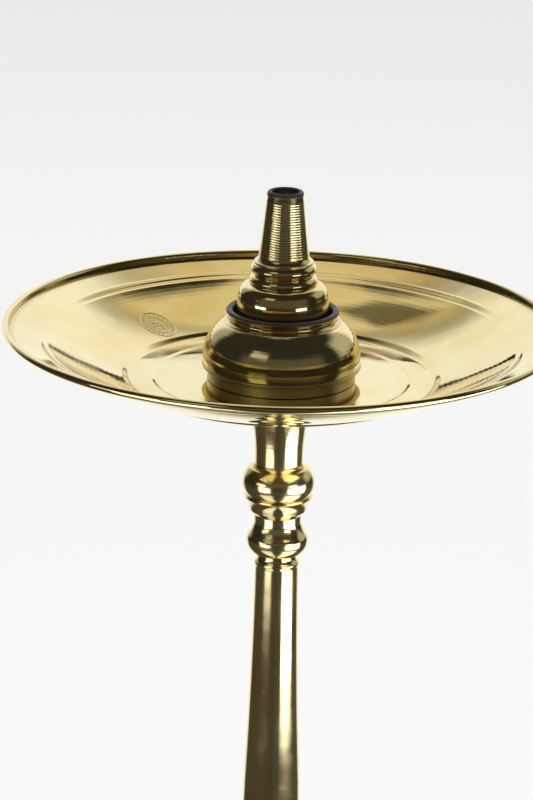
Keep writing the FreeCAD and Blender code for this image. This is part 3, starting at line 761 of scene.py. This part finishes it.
def tray():
    bead_axis = d.tray_radius - d.tray_bead
    under = d.sheet
    lathe("tray", [
        to(d.tray_hole, down(d.well_drop + under)),
        to(d.well_radius, down(d.well_drop + under)),
        to(d.ring_outer_radius, down(d.well_drop + under)),
        round_to(d.crease_radius + under * 0.8, down(d.crease_drop + under),
                 d.crease_round + under),
        to(d.wall_low_radius + under * 0.5, down(d.wall_low_drop + under)),
        round_to(d.floor_outer_radius + under * 0.4, down(d.floor_outer_drop + under),
                 d.wall_round),
        round_to(d.step_radius + under * 0.4, down(d.step_drop + under), d.step_round + under),
        cove_to(d.marli_inner_radius + under * 0.3, down(d.marli_inner_drop + under),
                d.step_round - under),
        to(d.marli_outer_radius, down(d.marli_outer_drop + under)),
        to(bead_axis, d.rim_level - d.tray_bead),
        round_to(d.tray_radius, d.rim_level, d.tray_bead),
        round_to(bead_axis, up(d.tray_bead), d.tray_bead),
        round_to(bead_axis - d.tray_bead, d.rim_level, d.tray_bead),
        to(d.marli_outer_radius, down(d.marli_outer_drop)),
        to(d.marli_inner_radius, down(d.marli_inner_drop)),
        round_to(d.step_radius, down(d.step_drop), d.step_round),
        cove_to(d.floor_outer_radius, down(d.floor_outer_drop), d.step_round),
        cove_to(d.wall_low_radius, down(d.wall_low_drop), d.wall_round),
        to(d.crease_radius, down(d.crease_drop)),
        cove_to(d.ring_outer_radius, down(d.ring_outer_drop), d.crease_round),
        to(d.ring_inner_radius, down(d.ring_outer_drop)),
        to(d.well_radius, down(d.well_drop)),
        to(d.tray_hole, down(d.well_drop)),
    ], spun, "tray", nodes=("tray", "tray_centre"), warp=hand_spun, turns=320)


# A made-up embossed mark on the wall of the tray: two oval rings, dots and a small flower.
STAMP_ANGLE = math.radians(134.5)
STAMP_RADIUS = 75.5
STAMP_WIDTH, STAMP_HEIGHT = 7.2, 9.0      # half-axes of the outer ring, along and up the wall
STAMP_RELIEF = 0.16
STAMP_SINK = -0.03                        # its edges lie just under the surface
WALL_RUN = 0.92                           # radius gained for each millimetre up the wall
OVAL_STEPS, DOT_SIDES = 96, 12
DOTS, PETALS = 20, 6


def on_wall(along, upward, lift):
    """A point of the mark, laid on the curved wall of the tray."""
    low = Vector((d.wall_low_radius, down(d.wall_low_drop)))
    high = Vector((d.floor_outer_radius, down(d.floor_outer_drop)))
    chord = high - low
    square = Vector((-chord.y, chord.x)).normalized()
    centre = (low + high) / 2 + square * math.sqrt(d.wall_round ** 2 - (chord.length / 2) ** 2)
    radius = STAMP_RADIUS + upward * WALL_RUN
    level = centre.y - math.sqrt(d.wall_round ** 2 - (radius - centre.x) ** 2)
    angle = STAMP_ANGLE - along / STAMP_RADIUS
    foot = hand_spun(Vector((radius * math.cos(angle), radius * math.sin(angle), level)))
    return (foot + Vector((0, 0, lift))) * MM


def stamp():
    verts, faces = [], []

    def oval(inset, half, relief):
        """A raised oval line of that half-width, inside the edge of the mark."""
        start = len(verts)
        width, height = STAMP_WIDTH - inset[0], STAMP_HEIGHT - inset[1]
        profile = [(-half, STAMP_SINK), (-half * 0.55, relief * 0.8), (0.0, relief),
                   (half * 0.55, relief * 0.8), (half, STAMP_SINK)]
        for step in range(OVAL_STEPS):
            angle = math.tau * step / OVAL_STEPS
            verts.extend(on_wall((width + shift) * math.cos(angle),
                                 (height + shift) * math.sin(angle), lift)
                         for shift, lift in profile)
        count = len(profile)
        for step in range(OVAL_STEPS):
            here, beside = start + step * count, start + (step + 1) % OVAL_STEPS * count
            faces.extend((here + row, here + row + 1, beside + row + 1, beside + row)
                         for row in range(count - 1))

    def dot(along, upward, size, stretch=1.0, turn=0.0):
        """A low dome, or a petal if it's stretched."""
        start = len(verts)
        for share, lift in ((1.0, STAMP_SINK), (0.7, STAMP_RELIEF * 0.75)):
            for side in range(DOT_SIDES):
                angle = math.tau * side / DOT_SIDES
                x, y = size * share * math.cos(angle) * stretch, size * share * math.sin(angle)
                verts.append(on_wall(along + x * math.cos(turn) - y * math.sin(turn),
                                     upward + x * math.sin(turn) + y * math.cos(turn), lift))
        verts.append(on_wall(along, upward, STAMP_RELIEF))
        inner = start + DOT_SIDES
        for side in range(DOT_SIDES):
            beside = (side + 1) % DOT_SIDES
            faces.append((start + side, start + beside, inner + beside, inner + side))
            faces.append((inner + side, inner + beside, inner + DOT_SIDES))

    oval((0.0, 0.0), 0.45, STAMP_RELIEF)
    oval((2.6, 2.8), 0.32, STAMP_RELIEF * 0.8)
    for index in range(DOTS):
        angle = math.tau * (index + 0.5) / DOTS
        dot((STAMP_WIDTH - 1.3) * math.cos(angle), (STAMP_HEIGHT - 1.4) * math.sin(angle), 0.42)
    for index in range(PETALS):
        angle = math.tau * index / PETALS
        dot(2.0 * math.cos(angle), 2.6 * math.sin(angle), 0.65, 1.8, angle)
    dot(0.0, 0.0, 0.7)
    mesh = bpy.data.meshes.new("tray_stamp")
    mesh.from_pydata(verts, [], faces)
    mesh.shade_smooth()
    add_piece("tray_stamp", mesh, stamped, "tray")


# ---- stem: washer, seat, collar, knop, saucer, baluster, shaft and the tube inside them ----

def tray_washer():
    top = down(d.well_drop + d.sheet)
    ring("tray_washer", d.tube_radius, d.washer_radius, top - d.washer_thickness, top,
         fibre, "stem")


def tray_seat():
    top = down(d.well_drop + d.sheet + d.washer_thickness)
    lathe("tray_seat", [
        to(d.tube_radius, down(d.seat_low_drop)),
        to(d.seat_low_radius, down(d.seat_low_drop)),
        cove_to(d.seat_radius, top - d.seat_edge, d.seat_cove),
        to(d.seat_radius, top),
        to(d.tube_radius, top),
    ], stem_polish, "stem")


def stem_collar():
    lathe("stem_collar", [
        to(d.tube_radius, down(d.collar_low_drop)),
        to(d.collar_low_radius, down(d.collar_low_drop)),
        cove_to(d.seat_low_radius, down(d.seat_low_drop), d.collar_cove),
        to(d.tube_radius, down(d.seat_low_drop)),
    ], stem_polish, "stem")


def stem_knop():
    lathe("stem_knop", [
        to(d.tube_radius, down(d.knop_low_drop)),
        to(d.knop_low_radius, down(d.knop_low_drop)),
        round_to(d.knop_shoulder_radius, down(d.knop_shoulder_drop), d.knop_round),
        cove_to(d.collar_low_radius, down(d.collar_low_drop), d.knop_neck_cove),
        to(d.tube_radius, down(d.collar_low_drop)),
    ], stem_polish, "stem")


def saucer_ring():
    lathe("saucer_ring", [
        to(d.tube_radius, down(d.saucer_low_drop)),
        to(d.saucer_low_radius, down(d.saucer_low_drop)),
        to(d.saucer_bevel_radius, down(d.saucer_bevel_drop)),
        to(d.saucer_waist_radius, down(d.saucer_waist_drop)),
        cove_to(d.saucer_lip_radius, down(d.saucer_lip_drop), d.saucer_cove),
        to(d.knop_low_radius, down(d.knop_low_drop)),
        to(d.tube_radius, down(d.knop_low_drop)),
    ], stem_polish, "stem")


def baluster():
    lathe("baluster", [
        to(d.tube_radius, down(d.baluster_low_drop)),
        to(d.baluster_low_radius, down(d.baluster_low_drop)),
        round_to(d.baluster_radius, down(d.baluster_belly_drop), d.baluster_lower_round),
        round_to(d.baluster_hip_radius, down(d.baluster_hip_drop), d.baluster_upper_round),
        cove_to(d.saucer_low_radius, down(d.baluster_neck_drop), d.baluster_cove),
        to(d.saucer_low_radius, down(d.saucer_low_drop)),
        to(d.tube_radius, down(d.saucer_low_drop)),
    ], stem_polish, "stem")


def shaft():
    lathe("shaft", [
        to(d.shaft_bore, down(d.shaft_foot_drop)),
        to(d.shaft_foot_radius, down(d.shaft_foot_drop)),
        cove_to(d.shaft_mid_radius, down(d.shaft_mid_drop), d.shaft_lower_cove),
        cove_to(d.shaft_top_radius, down(d.shaft_top_drop), d.shaft_upper_cove),
        to(d.shaft_lip_radius, down(d.shaft_lip_drop + d.shaft_lip_edge)),
        to(d.shaft_lip_radius, down(d.shaft_lip_drop)),
        cove_to(d.baluster_low_radius, down(d.baluster_low_drop), d.shaft_lip_cove),
        to(d.shaft_bore, down(d.baluster_low_drop)),
    ], stem_polish, "stem")


def smoke_tube():
    ring("smoke_tube", d.smoke_bore, d.tube_radius, down(d.heart_low_drop),
         down(d.stub_drop), tube_metal, "stem")


def shaft_ring():
    lathe("shaft_ring", [
        to(d.tube_radius, down(d.ring_drop)),
        to(d.shaft_foot_radius, down(d.ring_drop)),
        round_to(d.shaft_foot_radius, down(d.shaft_foot_drop), d.ring_round),
        to(d.tube_radius, down(d.shaft_foot_drop)),
    ], polished, "stem")


# ---- heart, its two ports and the purge valve ----

def on_port(side):
    """From a port's own space to its place on the heart: side 1 leans to +X, side -1 to -X."""
    tilt = Matrix.Rotation(math.radians(d.port_tilt) * side, 4, "Y")
    return Matrix.Translation((0, 0, down(d.port_centre_drop) * MM)) @ tilt


def heart():
    lathe("heart", [
        to(0.0, down(d.heart_low_drop)),
        to(d.heart_neck_radius, down(d.heart_low_drop)),
        round_to(d.heart_radius, down(d.heart_belly_drop), d.heart_lower_round),
        round_to(d.heart_neck_radius, down(d.ring_drop), d.heart_upper_round),
        to(0.0, down(d.ring_drop)),
    ], polished, "stem")


def heart_foot():
    lathe("heart_foot", [
        to(d.foot_bore, down(d.foot_low_drop)),
        to(d.foot_radius, down(d.foot_low_drop)),
        round_to(d.foot_radius, down(d.heart_low_drop), d.foot_round),
        to(d.foot_bore, down(d.heart_low_drop)),
    ], polished, "stem")


def hose_port():
    bead_low = d.hose_mouth - d.hose_bead_height
    lathe("hose_port", [
        to(d.hose_bore, d.port_inner_end),
        to(d.hose_tube_radius, d.port_inner_end),
        to(d.hose_tube_radius, d.port_collar_low + d.hose_collar_height),
        to(d.hose_tip_radius, bead_low),
        round_to(d.hose_tip_radius, d.hose_mouth, d.hose_bead_round),
        to(d.hose_bore, d.hose_mouth),
    ], polished, "stem", place=on_port(1))
    lathe("hose_collar", [
        to(d.hose_tube_radius, d.port_collar_low),
        to(d.hose_collar_radius - d.hose_collar_round * 0.4, d.port_collar_low),
        round_to(d.hose_collar_radius - d.hose_collar_round * 0.4,
                 d.port_collar_low + d.hose_collar_height, d.hose_collar_round),
        to(d.hose_tube_radius, d.port_collar_low + d.hose_collar_height),
    ], polished, "stem", place=on_port(1))


def fluted(point):
    """Push the cap's side in at each flute."""
    radius = math.hypot(point.x, point.y)
    if radius < d.cap_radius - d.flute_radius or point.z > d.purge_top + d.play:
        return point
    angle = (math.atan2(point.y, point.x) * CAP_FLUTES / math.tau + 0.5) % 1.0 - 0.5
    across = angle * math.tau / CAP_FLUTES * d.cap_radius
    depth = max(0.0, math.sqrt(max(0.0, d.flute_radius ** 2 - across ** 2)) - d.flute_radius * 0.4)
    return Vector((point.x, point.y, 0)) * (1 - depth / radius) + Vector((0, 0, point.z))


def purge_valve():
    lean = on_port(-1)
    ring("purge_body", d.purge_chamber, d.purge_radius, d.port_inner_end, d.purge_top,
         polished, "stem", lean)
    ring("purge_seat", d.purge_hole, d.purge_chamber, d.port_collar_low, d.purge_seat,
         polished, "stem", lean)
    ring("purge_collar", d.purge_radius, d.purge_collar_radius, d.port_collar_low,
         d.port_collar_low + d.purge_collar_height, polished, "stem", lean)
    seated = math.sqrt(d.ball_radius ** 2 - d.purge_hole ** 2)
    centre = d.purge_seat + seated + d.play * 0.5
    lathe("purge_ball", [
        to(0.0, centre - d.ball_radius),
        round_to(d.ball_radius, centre, d.ball_radius),
        round_to(0.0, centre + d.ball_radius, d.ball_radius),
    ], ball_metal, "purge_ball", place=lean)
    cap_bore = d.purge_radius + d.play
    cap_inside = d.purge_top + d.play
    lathe("purge_cap", [
        to(cap_bore, d.cap_low),
        to(d.cap_radius, d.cap_low),
        to(d.cap_radius, cap_inside),
        to(cap_bore, cap_inside),
    ], polished, "purge_cap", warp=fluted, turns=CAP_FLUTES * 24, place=lean)
    lathe("purge_cap_top", [
        to(d.cap_vent, cap_inside),
        to(d.cap_radius - d.flute_radius * 0.6, cap_inside),
        round_to(d.cap_radius - d.cap_round, d.cap_top, d.cap_round),
        to(d.cap_vent, d.cap_top),
    ], polished, "purge_cap", place=lean)


# ---- cover, plug, grommet, down stem and vase ----

def vase_cover():
    lathe("vase_cover", [
        round_to(d.cover_radius - d.sheet, down(d.cover_low_drop), d.cover_cove),
        to(d.cover_radius, down(d.cover_low_drop)),
        cove_to(d.cover_shoulder_radius, down(d.cover_shoulder_drop), d.cover_cove),
        round_to(d.cover_neck_radius, down(d.foot_low_drop), d.cover_round),
        to(d.foot_bore, down(d.foot_low_drop)),
        to(d.foot_bore, down(d.foot_low_drop + d.sheet)),
        to(d.cover_neck_radius, down(d.foot_low_drop + d.sheet)),
        cove_to(d.cover_shoulder_radius - d.sheet, down(d.cover_shoulder_drop + d.sheet * 0.7),
                d.cover_round),
    ], polished, "stem")


def plug_cone():
    lathe("plug_cone", [
        to(d.plug_low_bore, down(d.plug_low_drop)),
        to(d.plug_low_radius, down(d.plug_low_drop)),
        to(d.plug_top_radius, down(d.foot_low_drop + d.sheet)),
        to(d.foot_bore, down(d.foot_low_drop + d.sheet)),
    ], polished, "stem")


def down_stem():
    ring("down_stem", d.smoke_bore, d.down_stem_radius, down(d.down_stem_drop),
         down(d.heart_low_drop), tube_metal, "stem")


def vase_grommet():
    taper = (d.plug_top_radius - d.plug_low_radius) / (d.plug_low_drop - d.foot_low_drop - d.sheet)
    mouth = d.mouth_drop
    top = mouth - d.grommet_flange

    def beside_plug(drop):
        return d.plug_low_radius + (d.plug_low_drop - drop) * taper + d.play * 1.2
    lathe("vase_grommet", [
        to(beside_plug(d.grommet_low_drop), down(d.grommet_low_drop)),
        to(d.mouth_bore, down(d.grommet_low_drop)),
        to(d.mouth_bore, down(mouth)),
        to(d.neck_radius, down(mouth)),
        to(d.neck_radius, down(top)),
        to(beside_plug(top), down(top)),
    ], rubber, "vase")


def vase():
    wall = d.glass_wall
    lip_low = down(d.mouth_drop + d.mouth_lip_height)
    lathe("vase", [
        to(0.0, 0.0),
        to(d.glass_foot_radius, 0.0),
        round_to(d.glass_heel_radius, d.glass_heel_level, d.glass_foot_round),
        round_to(d.glass_radius, d.glass_belly_level, d.glass_heel_round),
        round_to(d.glass_shoulder_radius, d.glass_shoulder_level, d.glass_round),
        cove_to(d.neck_radius, d.neck_low_level, d.neck_cove),
        to(d.neck_radius, lip_low),
        round_to(d.mouth_bore + wall, down(d.mouth_drop), d.mouth_lip_height),
        to(d.mouth_bore, down(d.mouth_drop)),
        to(d.mouth_bore, d.neck_low_level),
        round_to(d.glass_shoulder_radius - wall, d.glass_shoulder_level - wall * 0.5,
                 d.neck_cove + wall),
        cove_to(d.glass_radius - wall, d.glass_belly_level, d.glass_round - wall),
        cove_to(d.glass_heel_radius - wall, d.glass_heel_level + wall, d.glass_heel_round - wall),
        cove_to(d.glass_foot_radius, d.glass_floor, d.glass_foot_round - wall),
        to(0.0, d.glass_floor),
    ], vase_glass, "vase")


for make in (bowl_port, neck_bead, neck_drum, port_bell, lip_cup, bulb_shell, bulb_base,
             head_bush, tray, stamp, tray_washer, tray_seat, stem_collar, stem_knop,
             saucer_ring, baluster, shaft, smoke_tube, shaft_ring, heart, heart_foot,
             hose_port, purge_valve, vase_cover, plug_cone, down_stem, vase_grommet, vase):
    make()

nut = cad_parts["heart_nut"].data     # keeps its CAD shape, with the tube's metal
nut.materials.clear()
nut.materials.append(tube_metal)


# ---- camera, floor and light ----

CAMERA_PLACE = Vector((0.0, -1417.6, rim_level + 417.2)) * MM
CAMERA_YAW = math.radians(0.235)         # to the left of +Y
CAMERA_DOWN = math.radians(17.58)
CAMERA_ROLL = math.radians(1.32)
LENS = 162.0


def camera():
    data = bpy.data.cameras.new("camera")
    data.lens = LENS
    data.clip_start, data.clip_end = 0.05, 100
    viewer = bpy.data.objects.new("camera", data)
    bpy.context.scene.collection.objects.link(viewer)
    aim = (Matrix.Rotation(CAMERA_YAW, 4, "Z") @ Matrix.Rotation(math.pi / 2 - CAMERA_DOWN, 4, "X")
           @ Matrix.Rotation(CAMERA_ROLL, 4, "Z"))
    viewer.matrix_world = Matrix.Translation(CAMERA_PLACE) @ aim
    bpy.context.scene.camera = viewer


def floor():
    """A plain pale floor. Polished metal reflects the studio instead of it."""
    corners = [(x * FLOOR_HALF, y * FLOOR_HALF, 0) for x, y in ((-1, -1), (1, -1), (1, 1), (-1, 1))]
    mesh = bpy.data.meshes.new("floor")
    mesh.from_pydata(corners, [], [(0, 1, 2, 3)])
    nodes = Nodes("floor")
    cloud = nodes.noise(0.6, 2.0)
    colour = nodes.mix(cloud, (0.86, 0.87, 0.88, 1), (0.88, 0.89, 0.90, 1))
    nodes.fill(nodes.shader, Base_Color=colour, Roughness=0.9,
               Emission_Color=FLOOR_TINT, Emission_Strength=FLOOR_GLOW)
    mesh.materials.append(nodes.material)
    ground = bpy.data.objects.new("floor", mesh)
    bpy.context.scene.collection.objects.link(ground)
    ground.visible_glossy = False


def top_light():
    """A wide soft light above, which brightens the floor and the matte pieces."""
    data = bpy.data.lights.new("top_light", "AREA")
    data.shape = "RECTANGLE"
    data.size, data.size_y = TOP_LIGHT_SIZE, TOP_LIGHT_SIZE
    data.energy = TOP_LIGHT
    light = bpy.data.objects.new("top_light", data)
    light.location = (0.0, 0.0, TOP_LIGHT_LEVEL)
    bpy.context.scene.collection.objects.link(light)
    light.visible_glossy = False
    light.visible_camera = False
    light.visible_transmission = False


# What the brass reflects: each entry is a soft-edged window in the studio, by azimuth from the
# camera's side (positive to the right) and elevation, in degrees, then its softness and its light.
STUDIO = [
    ("floor_left", (-200, 0), (-95, -12), 10, (0.072, 0.062, 0.042)),
    ("floor_right", (0, 200), (-95, -12), 10, (0.078, 0.080, 0.060)),
    ("backdrop_left", (-200, -138), (-44, 38), 7, (1.02, 1.03, 0.98)),
    ("backdrop_right", (138, 200), (-44, 40), 7, (1.06, 1.07, 1.02)),
    ("left_window", (-146, -126), (4, 38), 7, (0.40, 0.40, 0.33)),
    ("right_window", (98, 140), (6, 40), 8, (0.50, 0.49, 0.38)),
    ("front", (-62, 66), (4, 30), 9, (0.10, 0.092, 0.06)),
    ("ceiling_right", (142, 200), (42, 80), 7, (0.78, 0.69, 0.44)),
    ("ceiling_left", (-200, -138), (42, 80), 7, (0.78, 0.69, 0.44)),
    ("ceiling_gap", (-166, -146), (46, 62), 3, (0.17, 0.155, 0.09)),
    ("left_table", (-68, -22), (-86, -38), 3, (1.1, 1.15, 1.1)),
    ("right_table", (24, 88), (-86, -38), 3, (1.9, 1.9, 1.8)),
    ("lamp", (-52, -24), (27, 44), 3, (0.50, 0.52, 0.40)),
]
DARK_SIDE = (0.026, 0.026, 0.020)
BACKGROUND = (0.88, 0.895, 0.91)
TOP_LIGHT = 90.0
TOP_LIGHT_SIZE, TOP_LIGHT_LEVEL = 6.0, 4.0      # metres
FLOOR_HALF = 30.0                               # half the floor's width, metres
FLOOR_GLOW = 0.55
FLOOR_TINT = (0.86, 0.88, 0.925, 1)


# Softboxes close to the stem and strips level with the bowl port: azimuth, width, lower and
# upper edge, and light.
SOFTBOX_REACH = 0.40
SOFTBOXES = [
    ("left_softbox", -44.0, 0.27, 0.385, 0.566, (2.5, 2.52, 2.4)),
    ("right_softbox", 60.0, 0.46, 0.322, 0.566, (3.4, 3.4, 3.25)),
    ("left_strip", -56.0, 0.20, 0.614, 0.650, (3.4, 3.4, 3.0)),
    ("right_strip", 46.0, 0.19, 0.606, 0.650, (3.8, 3.8, 3.4)),
]


def softboxes():
    """Near lights that end part way down the stem, so their strips in the brass do too."""
    for name, azimuth, width, low, high, light in SOFTBOXES:
        data = bpy.data.lights.new(name, "AREA")
        data.shape = "RECTANGLE"
        data.size, data.size_y = width, high - low
        data.color = [value / max(light) for value in light]
        data.energy = max(light) * math.pi * width * (high - low)
        box = bpy.data.objects.new(name, data)
        turn = math.radians(azimuth)
        away = Vector((math.sin(turn), -math.cos(turn), 0))
        box.rotation_mode = "QUATERNION"
        box.rotation_quaternion = away.to_track_quat("Z", "Y")
        box.location = away * SOFTBOX_REACH + Vector((0, 0, (low + high) / 2))
        bpy.context.scene.collection.objects.link(box)
        box.visible_camera = False
        box.visible_diffuse = False
        box.visible_transmission = False


def studio():
    """World: a pale backdrop for the camera, and the studio's windows in reflections."""
    world = bpy.data.worlds.new("studio")
    world.use_nodes = True
    bpy.context.scene.world = world
    tree = world.node_tree
    tree.nodes.clear()

    def add(kind, **settings):
        node = tree.nodes.new(kind)
        for key, value in settings.items():
            setattr(node, key, value)
        return node

    def feed(socket, value):
        if isinstance(value, bpy.types.NodeSocket):
            tree.links.new(value, socket)
        else:
            socket.default_value = value

    def maths(operation, first, second=0.0):
        node = add("ShaderNodeMath", operation=operation)
        feed(node.inputs[0], first)
        feed(node.inputs[1], second)
        return node.outputs[0]

    def edge(value, start, end):
        """0 at start, 1 at end, eased between."""
        node = add("ShaderNodeMapRange", interpolation_type="SMOOTHSTEP")
        feed(node.inputs["Value"], value)
        feed(node.inputs["From Min"], start)
        feed(node.inputs["From Max"], end)
        return node.outputs["Result"]

    def between(value, low, high, soft):
        return maths("MULTIPLY", edge(value, low - soft, low + soft),
                     edge(value, high + soft, high - soft))

    split = add("ShaderNodeSeparateXYZ")
    tree.links.new(add("ShaderNodeTexCoord").outputs["Generated"], split.inputs["Vector"])
    degrees = 180 / math.pi
    towards = maths("MULTIPLY", split.outputs["Y"], -1.0)
    azimuth = maths("MULTIPLY", maths("ARCTAN2", split.outputs["X"], towards), degrees)
    elevation = maths("MULTIPLY", maths("ARCSINE", split.outputs["Z"]), degrees)
    colour = None
    for name, across, upright, soft, light in STUDIO:
        mask = maths("MULTIPLY", between(azimuth, *across, soft),
                     between(elevation, *upright, soft))
        mixed = add("ShaderNodeMix", data_type="RGBA", label=name)
        feed(mixed.inputs[0], mask)
        feed(mixed.inputs[6], colour or (*DARK_SIDE, 1))
        feed(mixed.inputs[7], (*light, 1))
        colour = mixed.outputs[2]
    rays = add("ShaderNodeLightPath")
    seen = maths("MAXIMUM", rays.outputs["Is Camera Ray"], rays.outputs["Is Transmission Ray"])
    mixed = add("ShaderNodeMix", data_type="RGBA")
    feed(mixed.inputs[0], seen)
    feed(mixed.inputs[6], colour)
    feed(mixed.inputs[7], (*BACKGROUND, 1))
    background = add("ShaderNodeBackground")
    feed(background.inputs["Color"], mixed.outputs[2])
    tree.links.new(background.outputs["Background"], add("ShaderNodeOutputWorld").inputs["Surface"])


bpy.context.scene.view_settings.view_transform = "Standard"
camera()
floor()
top_light()
softboxes()
studio()
